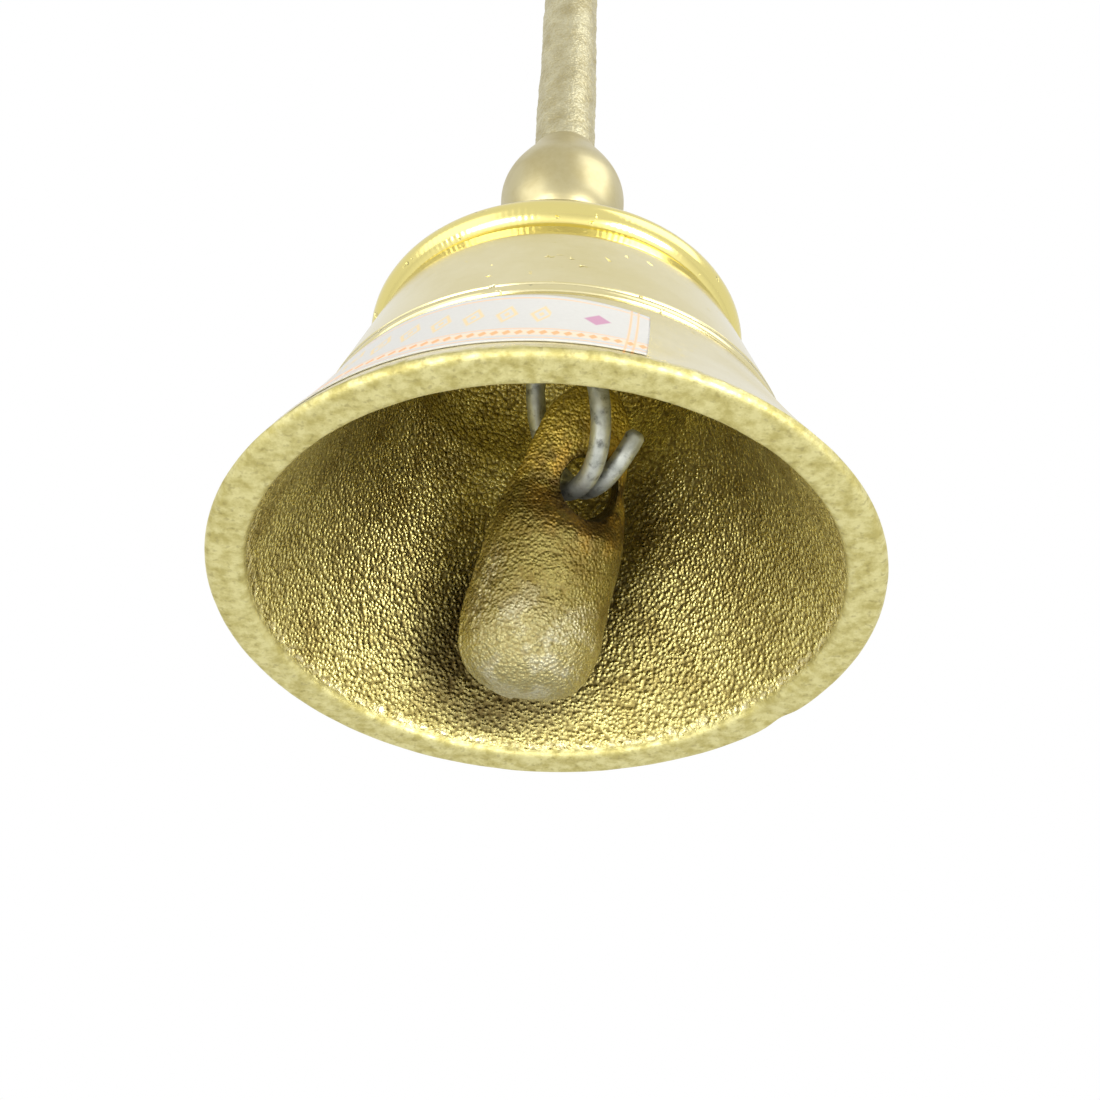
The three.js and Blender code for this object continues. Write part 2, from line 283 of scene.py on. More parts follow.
has_chatter = np.where(above_drum, 1.0, 0.0) * (1 - is_cast)
print("bell outline", len(bell_outline), "points,", len(inside), "of them inside")


# %% Bell surface
def soften(weight, width):
    """A weight round the closed outline, averaged over its neighbours so that finishes blend."""
    taps = range(-width, width + 1)
    return sum(np.roll(weight, k) for k in taps) / len(taps)


def keep_weights(piece, around, **weights):
    """Stores a value for each outline point as a mesh attribute, the same all the way round."""
    for name, weight in weights.items():
        attribute = piece.data.attributes.new(name, "FLOAT", "POINT")
        attribute.data.foreach_set("value", np.repeat(weight, around).astype(np.float32))


around_bell = 470
joints = {joint["name"]: joint for joint in frame["joints"]}
grid, angle = turn(bell_outline, around_bell)
normals = turned_normals(outline_normals(bell_outline, closed=True), angle)
cast = soften(is_cast, 3)[:, None]
filed = soften(is_lip, 1)[:, None]
height = cast * (
    0.12 * MM * swells(grid, 8 * MM, 1)
    + 0.04 * MM * swells(grid, 2.3 * MM, 2)
    + 0.12 * MM * (grains(grid, 0.9 * MM, 3) - 0.5)
)
height -= filed * 0.03 * MM * (1 + swells(grid, 2.4 * MM, 4))
nick_angle, nick_width = np.radians([38, 3])
nick_depth = 0.28 * MM
height -= filed * nick_depth * np.exp(-(((angle - nick_angle) / nick_width) ** 2))
bell = skin("bell", grid + normals * height[..., None], "joined")
chatter = soften(has_chatter, 1)
keep_weights(bell, around_bell, cast=cast[:, 0], filed=filed[:, 0], chatter=chatter)
# Painted shade: a weight for the inside beside the line where the clapper lies, standing in for its shadow
# and dark reflection on the wall.
clapper_low, clapper_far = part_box("clapper")
clapper_top = np.array(joints["clapper_sway"]["pos_m"])
clapper_foot = np.array([-4.5 * MM, clapper_far.y - 4 * MM, clapper_low.z + 4 * MM])
length = clapper_foot - clapper_top
shade_reach, shade_fade = 8 * MM, 3.5 * MM
shade_end = 0.92
share = np.clip((grid - clapper_top) @ length / (length @ length), 0, shade_end)
from_clapper = np.linalg.norm(grid - clapper_top - share[..., None] * length, axis=-1)
clapper_shade = np.exp(-((np.maximum(from_clapper - shade_reach, 0) / shade_fade) ** 2)) * cast
clapper_shade_mark = bell.data.attributes.new("clapper_shade", "FLOAT", "POINT")
clapper_shade_mark.data.foreach_set("value", clapper_shade.ravel().astype(np.float32))
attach(bell, "bell")
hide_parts("bell_body")
note(bell)

# %% [markdown]
# ## Collar
#
# The collar is turned from solid brass and sits between the crown and the handle. It is the same
# idea as the bell with no grain: a foot, a hollow neck, and a knob that runs up into the stem.

# %% Collar surface
stem_radius = 3.6 * MM
collar_height = collar_top - collar_low
neck_height = collar_low + 0.24 * collar_height
knob_height = collar_low + 0.58 * collar_height
foot = 7 * MM
neck = 4.6 * MM
edge = 0.35 * MM
collar_outline = np.vstack([
    straight((bolt_hole_radius, collar_low), (foot - edge, collar_low), 4),
    arc((foot - edge, collar_low + edge), edge, -90, 0, 5),
    arc((foot - edge, collar_low + 1.2 * MM - edge), edge, 0, 90, 5),
    bow((foot - edge, collar_low + 1.2 * MM), (neck, collar_low + 1.6 * MM), (neck, neck_height), 14),
    bow((neck, neck_height), (knob_radius, neck_height + 1.5 * MM), (knob_radius, knob_height), 18),
    swing((knob_radius, knob_height), (knob_radius, knob_height + 3 * MM),
          (5.2 * MM, collar_top - 3 * MM), (stem_radius + 0.4 * MM, collar_top), 26),
    straight((stem_radius + 0.4 * MM, collar_top), (bolt_hole_radius, collar_top), 4),
])
grid, angle = turn(collar_outline, 200)
collar = skin("collar", grid, "joined")
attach(collar, "bell")
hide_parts("handle_collar")
note(collar)

# %% [markdown]
# ## Handle
#
# The handle comes from a two-part sand mould. It is a little lumpy and not quite round, and a thin
# flash runs up both sides where the halves met, with one half sitting slightly off the other. Its
# bud is closed like a lotus. The outline starts at the top of the bolt's bore, runs down it and then
# up the outside, and both of its ends are gathered to a point on the axis.

# %% Handle surface
stem_length = 44.5 * MM
stem_taper = 0.4 * MM
stem_top = stem_low + stem_length
top_radius = stem_radius - stem_taper
bud_low = stem_top + 4.5 * MM
bead = 4.9 * MM
bud = 6.4 * MM
bolt_play = 0.3 * MM
bore_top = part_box("eye_bolt")[1].z + 2 * bolt_play
bore = np.vstack([
    straight((0.2 * MM, bore_top), (bolt_hole_radius, bore_top), 4),
    straight((bolt_hole_radius, bore_top), (bolt_hole_radius, stem_low), 24),
    straight((bolt_hole_radius, stem_low), (stem_radius - 0.3 * MM, stem_low), 4),
])
stem_outline = np.vstack([
    bore,
    arc((stem_radius - 0.3 * MM, stem_low + 0.3 * MM), 0.3 * MM, -90, 0, 5),
    straight((stem_radius, stem_low + 0.3 * MM), (top_radius, stem_top), 200),
    bow((top_radius, stem_top), (bead, stem_top), (bead, stem_top + 1.6 * MM), 16),
    bow((bead, stem_top + 1.6 * MM), (bead, stem_top + 3.2 * MM), (top_radius, bud_low - MM), 16),
    straight((top_radius, bud_low - MM), (top_radius, bud_low), 5),
    swing((top_radius, bud_low), (bud, bud_low + MM), (bud + 1.2 * MM, bud_low + 8 * MM),
          (bud / 2, bud_top - 5 * MM), 80),
    bow((bud / 2, bud_top - 5 * MM), (1.4 * MM, bud_top - 2 * MM), (0.15 * MM, bud_top - 0.15 * MM), 26),
])
grid, angle = turn(stem_outline, 190)
normals = turned_normals(outline_normals(stem_outline, closed=False), angle)
above_foot = stem_outline[:, 1] > stem_low + 0.2 * MM
on_side = (above_foot & (np.arange(len(stem_outline)) >= len(bore)))[:, None]
flash = np.exp(-((np.sin(angle) * grid[..., 0].max(axis=1, keepdims=True) / (0.35 * MM)) ** 2))
height = on_side * (
    0.10 * MM * swells(grid, 5 * MM, 11)
    + 0.06 * MM * swells(grid, 1.5 * MM, 12)
    + 0.09 * MM * (grains(grid, 0.7 * MM, 13) - 0.55)
    + 0.10 * MM * flash
)
grid = grid + normals * height[..., None]
half_slip = 0.12 * MM * np.tanh(np.sin(angle) / 0.1)
grid[..., 0] += half_slip * on_side
handle = skin("handle_stem", grid, "capped")
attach(handle, "bell")
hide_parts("handle")
note(handle)

# %% [markdown]
# ## Wire ring
#
# A length of galvanised wire is bent with pliers into one and a quarter turns. It passes through the
# clapper's hole, up behind, through the eye in the crown, down in front and through the hole again.
# The middle line is an ellipse that steps sideways as it turns. A circle carried along it makes the
# tube: at each point two directions square to the wire are found from the ring's own sideways axis.

# %% Where the ring and the clapper hang
eye_middle = Vector(joints["ring_swing"]["pos_m"])
hole_middle = Vector(joints["clapper_sway"]["pos_m"])
ring_height = (hole_middle - eye_middle).length
lean = math.radians(32)
ring_tilt = math.radians(12.9)
ring_yaw = math.radians(32)
clapper_tilt = math.radians(13.4)
clapper_yaw = math.radians(20)
leaning = Matrix.Rotation(lean, 4, "X")
ring_place = Matrix.Translation(eye_middle) @ leaning @ Matrix.Rotation(-ring_tilt, 4, "Y")
clapper_place = Matrix.Translation(hole_middle) @ leaning @ Matrix.Rotation(clapper_tilt, 4, "Y")
print("ring hangs", round(ring_height / MM, 2), "mm below the eye")


def placed(points, place):
    """Points carried from a piece's own frame to the bell's by a 4 by 4 matrix."""
    matrix = np.array(place)
    return points @ matrix[:3, :3].T + matrix[:3, 3]


# %% Wire ring surface
wire_radius = 1.1 * MM
ring_width = 14 * MM
ring_pitch = 2.35 * MM
ring_shift = -0.3 * MM
tail_splay = 2.6 * MM
tail_start, ring_end = np.radians([-62, 382])
wire_steps = 520
turn_angle = np.linspace(tail_start, ring_end, wire_steps)
bend = np.clip(turn_angle / tail_start, 0, 1)
middle_line = np.stack([
    ring_shift + ring_pitch * (0.5 - turn_angle / (2 * np.pi)) + tail_splay * bend**2,
    ring_width / 2 * np.sin(turn_angle),
    -ring_height / 2 * (1 + np.cos(turn_angle)),
], axis=1)
direction = np.gradient(middle_line, axis=0)
direction /= np.linalg.norm(direction, axis=1, keepdims=True)
sideways = np.array([1.0, 0, 0]) - direction * direction[:, :1]
sideways /= np.linalg.norm(sideways, axis=1, keepdims=True)
upright = np.cross(direction, sideways)
around = np.linspace(0, 2 * np.pi, 48, endpoint=False)[None, :, None]
ring_out = np.cos(around) * sideways[:, None] + np.sin(around) * upright[:, None]
step = np.arange(wire_steps)
end_fade = np.minimum(step, step[::-1]) / 4
nipped = np.clip(end_fade, 0, 1)[:, None, None] ** 0.5
shrink = wire_radius * (0.55 + 0.45 * nipped)
grid = middle_line[:, None] + ring_out * shrink
bruise = np.clip(swells(grid, 2.2 * MM, 21) - 0.45, 0, 1)
zinc = 0.03 * MM * swells(grid, 0.9 * MM, 22) - 0.16 * MM * bruise
grid = grid + ring_out * np.minimum(zinc, 0.02 * MM)[..., None]
grid = placed(grid, ring_place @ Matrix.Rotation(ring_yaw, 4, "Z"))
wire = skin("zinc_wire_ring", grid, "capped")
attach(wire, "ring")
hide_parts("wire_ring")
note(wire)

# %% [markdown]
# ## Clapper
#
# The clapper is a rough casting: a flat lug drilled for the wire, and a heavy bulb that strikes the
# bell. Its outline is turned first and then squeezed flat, more at the lug than at the bulb. The
# hole is cut with a Boolean. Remeshing then gives even, small faces all over, also inside the hole,
# so that grain can be pushed into every one of them.

# %% Clapper surface
lug_length = 11.6 * MM
lug_radius = 6 * MM
lug_thickness = 4 * MM
lug_flatness = lug_thickness / (2 * lug_radius)
bulb_length = 24 * MM
bulb_radius = 8 * MM
bulb_thickness = 11.4 * MM
bulb_flatness = bulb_thickness / (2 * bulb_radius)
hole_play = 0.75 * MM
hole_offset = 1.4 * MM
slant = ring_yaw - clapper_yaw
wires_reach = ring_pitch / 2 + wire_radius / math.cos(slant)
hole_radius = wires_reach + lug_thickness / 2 * math.tan(slant) + hole_play

clapper_outline = np.vstack([
    swing((0, -bulb_length), (0.8 * bulb_radius, -bulb_length),
          (bulb_radius, 3.4 * MM - bulb_length), (bulb_radius, 8.5 * MM - bulb_length), 30),
    straight((bulb_radius, 8.5 * MM - bulb_length), (0.96 * bulb_radius, -6.5 * MM), 20),
    bow((0.96 * bulb_radius, -6.5 * MM), (0.9 * bulb_radius, -2.5 * MM), (lug_radius, 0.5 * MM), 20),
    straight((lug_radius, 0.5 * MM), (0.92 * lug_radius, 4.5 * MM), 10),
    swing((0.92 * lug_radius, 4.5 * MM), (0.86 * lug_radius, 8.4 * MM),
          (0.5 * lug_radius, lug_length), (0, lug_length), 24),
])[1:]
grid, angle = turn(clapper_outline, 96)
rise = np.clip((grid[..., 2] + lug_radius) / (lug_radius - 0.5 * MM), 0, 1)
rise = rise * rise * (3 - 2 * rise)
grid[..., 1] *= bulb_flatness + (lug_flatness - bulb_flatness) * rise
grid[..., 0] -= hole_offset
rough = skin("clapper_rough", grid, "capped")

drill_outline = np.vstack([
    straight((hole_radius + 0.6 * MM, -6 * MM), (hole_radius, -1.2 * MM), 8),
    straight((hole_radius, -1.2 * MM), (hole_radius, 1.2 * MM), 4),
    straight((hole_radius, 1.2 * MM), (hole_radius + 0.6 * MM, 6 * MM), 8),
])
grid, angle = turn(drill_outline, 64)
drill = skin("drill", grid[..., [0, 2, 1]] * np.array([1, -1, 1]), "capped")


def apply_modifiers(piece):
    """Gives a piece the mesh that its modifiers make, and takes the modifiers off."""
    evaluated = piece.evaluated_get(bpy.context.evaluated_depsgraph_get())
    mesh = bpy.data.meshes.new_from_object(evaluated)
    piece.modifiers.clear()
    piece.data = mesh
    return piece


cut = rough.modifiers.new("hole", "BOOLEAN")
cut.operation = "DIFFERENCE"
cut.object = drill
even = rough.modifiers.new("even faces", "REMESH")
even.mode = "VOXEL"
even.voxel_size = 0.16 * MM
ease = rough.modifiers.new("ease", "SMOOTH")
ease.iterations = 4
apply_modifiers(rough)
bpy.data.objects.remove(drill)
print("clapper remeshed to", len(rough.data.polygons), "faces")


# %% [markdown]
# The mould left a raised line down one edge of the clapper, and a rough, pale band beside it on the
# bulb. The band is kept on the mesh, with the distance from the hole, for the finish to use.


# %% Push the grain into the clapper
def vertex_arrays(mesh):
    """Positions and normals of a mesh's vertices as arrays."""
    points = np.empty(len(mesh.vertices) * 3, np.float32)
    mesh.vertices.foreach_get("co", points)
    facing = np.empty(len(mesh.vertices) * 3, np.float32)
    mesh.vertices.foreach_get("normal", facing)
    return points.reshape(-1, 3).astype(float), facing.reshape(-1, 3).astype(float)


points, facing = vertex_arrays(rough.data)
sideways, forward, depth = points.T
from_hole = np.hypot(points[:, 0], points[:, 2])
rim = np.exp(-(((from_hole - hole_radius - 0.9 * MM) / (0.8 * MM)) ** 2))
clear_of_wire = np.clip((from_hole - hole_radius) / (1.5 * MM), 0, 1)
side_line = np.exp(-((points[:, 1] / (0.4 * MM)) ** 2)) * (points[:, 0] < -hole_offset)
swell = 0.20 * MM * swells(points, 6 * MM, 31) + 0.10 * MM * swells(points, 2.6 * MM, 32)
pocks = -0.35 * MM * np.clip(swells(points, 3.1 * MM, 33) - 0.45, 0, 1)
grain = 0.10 * MM * (grains(points, 0.7 * MM, 34) - 0.5) + 0.04 * MM * swells(points, 0.5 * MM, 35)
height = clear_of_wire * (swell + pocks + 0.25 * MM * side_line) + grain * (0.3 + 0.7 * clear_of_wire)
points = points + facing * (height - 0.05 * MM * rim)[:, None]
points = placed(points, clapper_place @ Matrix.Rotation(clapper_yaw, 4, "Z"))
below_lug = np.clip((-8 * MM - depth) / (3 * MM), 0, 1)
above_foot = np.clip((depth + bulb_length - 4 * MM) / (3 * MM), 0, 1)
on_edge = np.exp(-(((forward + 2 * MM) / (1.3 * MM)) ** 2)) * (sideways < -hole_offset)
flash_mark = rough.data.attributes.new("flash", "FLOAT", "POINT")
flash_mark.data.foreach_set("value", (below_lug * above_foot * on_edge).astype(np.float32))
hole_distance = rough.data.attributes.new("from_hole", "FLOAT", "POINT")
hole_distance.data.foreach_set("value", from_hole.astype(np.float32))
rough.data.vertices.foreach_set("co", points.astype(np.float32).ravel())
rough.data.polygons.foreach_set("use_smooth", np.ones(len(rough.data.polygons), bool))
rough.data.update()
clapper = rough
clapper.name = "cast_clapper"
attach(clapper, "tongue")
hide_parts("clapper")
note(clapper)

# %% [markdown]
# ## Eye bolt
#
# The bolt is hidden but for its eye. The eye is a ring of round rod at the foot of a plain shank.
# Both are grids, and the shank's foot ends inside the eye's rod, where a weld would be.

# %% Eye bolt surface
eye_radius = 3.6 * MM
rod_radius = 1 * MM
eye_yaw = math.radians(16)
loop = np.linspace(0, 2 * np.pi, 96, endpoint=False)[:, None, None]
section = np.linspace(0, 2 * np.pi, 32, endpoint=False)[None, :, None]
reach = eye_radius + rod_radius * np.cos(section)
grid = np.concatenate([
    reach * np.cos(loop), rod_radius * np.sin(section) * np.ones_like(loop), reach * np.sin(loop)
], axis=-1)
grid = placed(grid, Matrix.Translation(eye_middle) @ Matrix.Rotation(eye_yaw, 4, "Z"))
eye = skin("bolt_eye", grid, "joined")
bolt_radius = 2 * MM
thread_pitch = 0.7 * MM
thread_cut = 0.06
shank_low = eye_middle.z + eye_radius
shank_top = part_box("eye_bolt")[1].z
shank_outline = np.vstack([
    straight((0.2 * MM, shank_low), (bolt_radius, shank_low), 4),
    straight((bolt_radius, shank_low), (bolt_radius, shank_top - 0.5 * MM), 120),
    straight((bolt_radius, shank_top - 0.5 * MM), (1.4 * MM, shank_top), 5),
])
grid, angle = turn(shank_outline, 40)
thread_phase = grid[..., 2] / thread_pitch * 2 * np.pi - angle
threaded = np.clip((grid[..., 2] - shank_low - 1.5 * MM) / MM, 0, 1)
grid[..., :2] *= (1 - thread_cut * threaded * (1 - np.cos(thread_phase)))[..., None]
shank = skin("bolt_shank", grid, "capped")
for piece in (eye, shank):
    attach(piece, "bell")
    note(piece)
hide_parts("eye_bolt")

# %% [markdown]
# ## Paper label
#
# The label is a straight strip of paper wrapped round the flare. On a cone such a strip's edges
# sink towards its ends, and its end leans, so both are worked out from the angle to its middle. The
# radius follows the flare's own curve. A second grid further out closes it into a thin sheet. Its
# UV map is in millimetres along and up the paper, which is what a printed pattern needs.

# %% Paper label surface
label_low = label_box[0].z
label_high = label_box[1].z
label_start, label_end = np.radians([-76.0, 19.0]) - np.pi / 2
label_middle = (label_start + label_end) / 2
label_radius = 28.8 * MM
label_length = (label_end - label_start) * label_radius
flare_hollow = 0.4 * MM
print_height = 12.4


def flare_radius(height):
    """Outside radius between lip and grooves: a straight cone less a parabola 0.4 mm deep."""
    along = (height - lip_round) / (groove_height - lip_round)
    cone = mouth_radius + (groove_radius - mouth_radius) * along
    return cone - 4 * flare_hollow * along * (1 - along)


columns, rows = 260, 44
along = np.linspace(label_start, label_end, columns)
across = np.linspace(0, 1, rows)[:, None]
turned_away = np.degrees(along - label_middle)
top_edge = label_high + (0.8 - 0.00105 * turned_away**2) * MM
low_edge = label_low + (0.4 - 0.0005 * turned_away**2) * MM
paper_height = low_edge + (top_edge - low_edge) * across
end_lean = np.radians(5.5) * (1 - across) * np.clip((along - label_middle) / (label_end - label_middle), 0, 1)
paper_angle = along - end_lean


def paper_layer(lift):
    """Grid of the strip, lifted off the brass by a distance."""
    radius = flare_radius(paper_height) + lift
    return np.stack([radius * np.cos(paper_angle), radius * np.sin(paper_angle), paper_height], axis=-1)


front = paper_layer(0.22 * MM)
ripple = 0.04 * MM * swells(front, 4 * MM, 41)
front = paper_layer(0.20 * MM + ripple)
back = paper_layer(0.03 * MM)
loop = np.concatenate([back, front[::-1]], axis=0)
label = skin("label_sheet", loop.transpose(1, 0, 2), "capped")
u = np.linspace(0, label_length / MM, columns)
v = across[:, 0] * print_height
u_grid = np.broadcast_to(u[:, None], (columns, 2 * rows))
v_grid = np.broadcast_to(np.concatenate([v, v[::-1]])[None, :], (columns, 2 * rows))
uv_point = np.vstack([np.stack([u_grid, v_grid], axis=-1).reshape(-1, 2), [[0, 6], [u[-1], 6]]])
corner_vertex = np.empty(len(label.data.loops), np.int32)
label.data.loops.foreach_get("vertex_index", corner_vertex)
uv_map = label.data.uv_layers.new(name="print")
uv_map.data.foreach_set("uv", uv_point[corner_vertex].astype(np.float32).ravel())
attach(label, "bell")
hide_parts("paper_label")
note(label)

# %% [markdown]
# ## Finishes
#
# Two effects are shared by several finishes, so each is a node group: cast grain, and tarnish. The
# groups put out heights, masks and colours only. The shader stays in each material, and what is the
# same all over a surface is typed into the shader itself.


# %% Node helpers
def add(tree, kind, **inputs):
    """Adds a node and sets the inputs named, with underscores for spaces."""
    node = tree.nodes.new(kind)
    for name, value in inputs.items():
        node.inputs[name.replace("_", " ")].default_value = value
    return node


def join(tree, source, target):
    tree.links.new(source, target)


def new_finish(name, **shader_values):
    """A material, its tree and its Principled shader with the constants typed in."""
    material = bpy.data.materials.new(name)
    material.use_nodes = True
    shader = material.node_tree.nodes["Principled BSDF"]
    for socket, value in shader_values.items():
        shader.inputs[socket.replace("_", " ")].default_value = value
    return material, material.node_tree, shader


def new_group(name, inputs, outputs):
    """An empty node group with the sockets named, and its two end nodes."""
    group = bpy.data.node_groups.new(name, "ShaderNodeTree")
    for socket, kind, value in inputs:
        made = group.interface.new_socket(socket, in_out="INPUT", socket_type=kind)
        made.default_value = value
    for socket, kind in outputs:
        group.interface.new_socket(socket, in_out="OUTPUT", socket_type=kind)
    return group, group.nodes.new("NodeGroupInput"), group.nodes.new("NodeGroupOutput")


def arithmetic(tree, operation, first, second):
    """A Math node: each operand is a socket or a number."""
    node = tree.nodes.new("ShaderNodeMath")
    node.operation = operation
    for slot, operand in enumerate((first, second)):
        if isinstance(operand, (int, float)):
            node.inputs[slot].default_value = operand
        else:
            join(tree, operand, node.inputs[slot])
    return node.outputs[0]


def blend(tree, amount, first, second):
    """A colour mix: amount is a socket, and each colour is a socket or three numbers."""
    node = tree.nodes.new("ShaderNodeMix")
    node.data_type = "RGBA"
    join(tree, amount, node.inputs[0])
    for slot, colour in ((6, first), (7, second)):
        if isinstance(colour, tuple):
            node.inputs[slot].default_value = (*colour, 1)
        else:
            join(tree, colour, node.inputs[slot])
    return node.outputs[2]


def remap(tree, value, from_low, from_high, to_low, to_high):
    """Stretches a value from one range to another, without going past the ends."""
    node = tree.nodes.new("ShaderNodeMapRange")
    join(tree, value, node.inputs["Value"])
    for slot, number in enumerate((from_low, from_high, to_low, to_high), start=1):
        node.inputs[slot].default_value = number
    return node.outputs["Result"]


def object_place(tree):
    return tree.nodes.new("ShaderNodeTexCoord").outputs["Object"]


def noise(tree, place, scale, detail=2.0, roughness=0.5):
    node = add(tree, "ShaderNodeTexNoise", Scale=scale, Detail=detail, Roughness=roughness)
    join(tree, place, node.inputs["Vector"])
    return node.outputs["Fac"]


def bump(tree, shader, height, strength, distance):
    node = add(tree, "ShaderNodeBump", Strength=strength, Distance=distance)
    join(tree, height, node.inputs["Height"])
    join(tree, node.outputs["Normal"], shader.inputs["Normal"])
    return node


# %% [markdown]
# ### Cast grain
#
# Grains smaller than the mesh's faces are left to a bump. Cells of a Voronoi texture are the round
# grains, and a fine noise breaks them up. The hollows between grains come out as a mask too, since
# dirt stays in them.

# %% Cast grain group
grain_group, ends_in, ends_out = new_group(
    "cast_grain",
    [("Grains per metre", "NodeSocketFloat", 1800.0), ("Raggedness", "NodeSocketFloat", 0.5)],
    [("Height", "NodeSocketFloat"), ("Hollow", "NodeSocketFloat")],
)
place = object_place(grain_group)
cells = add(grain_group, "ShaderNodeTexVoronoi", Randomness=1.0)
cells.feature = "SMOOTH_F1"
cells.inputs["Smoothness"].default_value = 0.25
join(grain_group, place, cells.inputs["Vector"])
join(grain_group, ends_in.outputs["Grains per metre"], cells.inputs["Scale"])
fine = add(grain_group, "ShaderNodeTexNoise", Detail=3.0, Roughness=0.6)
join(grain_group, place, fine.inputs["Vector"])
finer = arithmetic(grain_group, "MULTIPLY", ends_in.outputs["Grains per metre"], 2.2)
join(grain_group, finer, fine.inputs["Scale"])
round_grain = arithmetic(grain_group, "SUBTRACT", 1.0, cells.outputs["Distance"])
ragged = arithmetic(grain_group, "MULTIPLY", fine.outputs["Fac"], ends_in.outputs["Raggedness"])
join(grain_group, arithmetic(grain_group, "ADD", round_grain, ragged), ends_out.inputs["Height"])
hollow = remap(grain_group, cells.outputs["Distance"], 0.35, 0.75, 0.0, 1.0)
join(grain_group, hollow, ends_out.inputs["Hollow"])


def cast_grain(tree, per_metre, raggedness):
    """Places the grain group with its own values, and returns its height and hollows."""
    node = tree.nodes.new("ShaderNodeGroup")
    node.node_tree = grain_group
    node.inputs["Grains per metre"].default_value = per_metre
    node.inputs["Raggedness"].default_value = raggedness
    return node.outputs["Height"], node.outputs["Hollow"]


# %% [markdown]
# ### Tarnish
#
# Old brass goes brown in clouds, with hard edges where fingers or polish have been. A broad noise
# makes the clouds, a finer one ragged edges, and the mask is squeezed to a soft step.

# %% Tarnish group
tarnish_group, ends_in, ends_out = new_group(
    "tarnish",
    [
        ("Clouds per metre", "NodeSocketFloat", 120.0),
        ("Amount", "NodeSocketFloat", 0.5),
        ("Clean", "NodeSocketColor", (0.8, 0.7, 0.36, 1)),
        ("Stained", "NodeSocketColor", (0.3, 0.18, 0.05, 1)),
    ],
    [("Color", "NodeSocketColor"), ("Mask", "NodeSocketFloat")],
)
place = object_place(tarnish_group)
clouds = add(tarnish_group, "ShaderNodeTexNoise", Detail=5.0, Roughness=0.62)
join(tarnish_group, place, clouds.inputs["Vector"])
join(tarnish_group, ends_in.outputs["Clouds per metre"], clouds.inputs["Scale"])
threshold = arithmetic(tarnish_group, "SUBTRACT", 0.95, ends_in.outputs["Amount"])
over = arithmetic(tarnish_group, "SUBTRACT", clouds.outputs["Fac"], threshold)
mask = remap(tarnish_group, over, -0.12, 0.12, 0.0, 1.0)
join(tarnish_group, mask, ends_out.inputs["Mask"])
colour = blend(tarnish_group, mask, ends_in.outputs["Clean"], ends_in.outputs["Stained"])
join(tarnish_group, colour, ends_out.inputs["Color"])


def tarnish(tree, per_metre, amount, clean, stained):
    """Places the tarnish group with its own values, and returns its colour and mask."""
    node = tree.nodes.new("ShaderNodeGroup")
    node.node_tree = tarnish_group
    node.inputs["Clouds per metre"].default_value = per_metre
    node.inputs["Amount"].default_value = amount
    node.inputs["Clean"].default_value = (*clean, 1)
    node.inputs["Stained"].default_value = (*stained, 1)
    return node.outputs["Color"], node.outputs["Mask"]


def attribute(tree, name):
    node = tree.nodes.new("ShaderNodeAttribute")
    node.attribute_name = name
    return node.outputs["Fac"]


# %% [markdown]
# ### Bell brass
#
# One material covers the bell, because its three finishes run into each other. The outside is
# polished, with fine lathe lines and a few pits. The lip is filed by hand and mottled. The inside is
# as cast. The weights stored on the mesh say where each one is, and a noise frays their edges. The
# turning tool chattered on the bead, so a sine round the axis leaves a row of small teeth there.

# %% Bell brass
POLISHED = (0.82, 0.74, 0.43)
POLISHED_DEEP = (0.75, 0.66, 0.33)
BEAD_YELLOW = (0.84, 0.73, 0.27)
FILED = (0.77, 0.71, 0.34)
FILED_DARK = (0.52, 0.46, 0.17)
FILED_SPECK = (0.26, 0.21, 0.07)
CAST_BRIGHT = (0.84, 0.75, 0.30)
CAST_DARK = (0.48, 0.39, 0.13)
PAINTED_SHADE_BROWN = (0.06, 0.04, 0.014)
CHATTER_MARKS = 190

bell_brass, tree, shader = new_finish("bell_brass", Metallic=1.0)
place = object_place(tree)
fray = remap(tree, noise(tree, place, 900, 4), 0.3, 0.7, -0.2, 0.2)
cast_edge = arithmetic(tree, "ADD", attribute(tree, "cast"), fray)
cast_here = remap(tree, cast_edge, 0.35, 0.65, 0.0, 1.0)
lip_edge = arithmetic(tree, "ADD", attribute(tree, "filed"), fray)
lip_here = remap(tree, lip_edge, 0.35, 0.65, 0.0, 1.0)

polished, smear = tarnish(tree, 60, 0.42, POLISHED, POLISHED_DEEP)
mottle, mottled = tarnish(tree, 650, 0.44, FILED, FILED_DARK)
speckle = remap(tree, noise(tree, place, 1500, 5), 0.56, 0.68, 0.0, 0.4)
mottle = blend(tree, speckle, mottle, FILED_SPECK)
sand = tarnish(tree, 160, 0.38, CAST_BRIGHT, CAST_DARK)[0]
grain_height, grain_hollow = cast_grain(tree, 2200, 0.35)
dirt = remap(tree, grain_hollow, 0.2, 1.0, 0.0, 0.75)
sand = blend(tree, dirt, sand, (0.24, 0.18, 0.05))
patchy = remap(tree, noise(tree, place, 260, 5), 0.35, 0.65, 0.75, 1.0)
# Painted shade: the cast inside turns deep brown beside the clapper, in place of its shadow and dark
# reflection.
sand = blend(tree, arithmetic(tree, "MULTIPLY", attribute(tree, "clapper_shade"), patchy), sand, PAINTED_SHADE_BROWN)
polished = blend(tree, attribute(tree, "chatter"), polished, BEAD_YELLOW)
colour = blend(tree, lip_here, polished, mottle)
colour = blend(tree, cast_here, colour, sand)
join(tree, colour, shader.inputs["Base Color"])

smooth = remap(tree, smear, 0.0, 1.0, 0.13, 0.24)
rough_lip = remap(tree, mottled, 0.0, 1.0, 0.42, 0.6)
rough_cast = remap(tree, grain_hollow, 0.0, 1.0, 0.24, 0.5)


def mix_value(tree, amount, first, second):
    """A value mix of two sockets."""
    node = tree.nodes.new("ShaderNodeMix")
    join(tree, amount, node.inputs[0])
    join(tree, first, node.inputs[2])
    join(tree, second, node.inputs[3])
    return node.outputs[0]


roughness = mix_value(tree, cast_here, mix_value(tree, lip_here, smooth, rough_lip), rough_cast)
join(tree, roughness, shader.inputs["Roughness"])

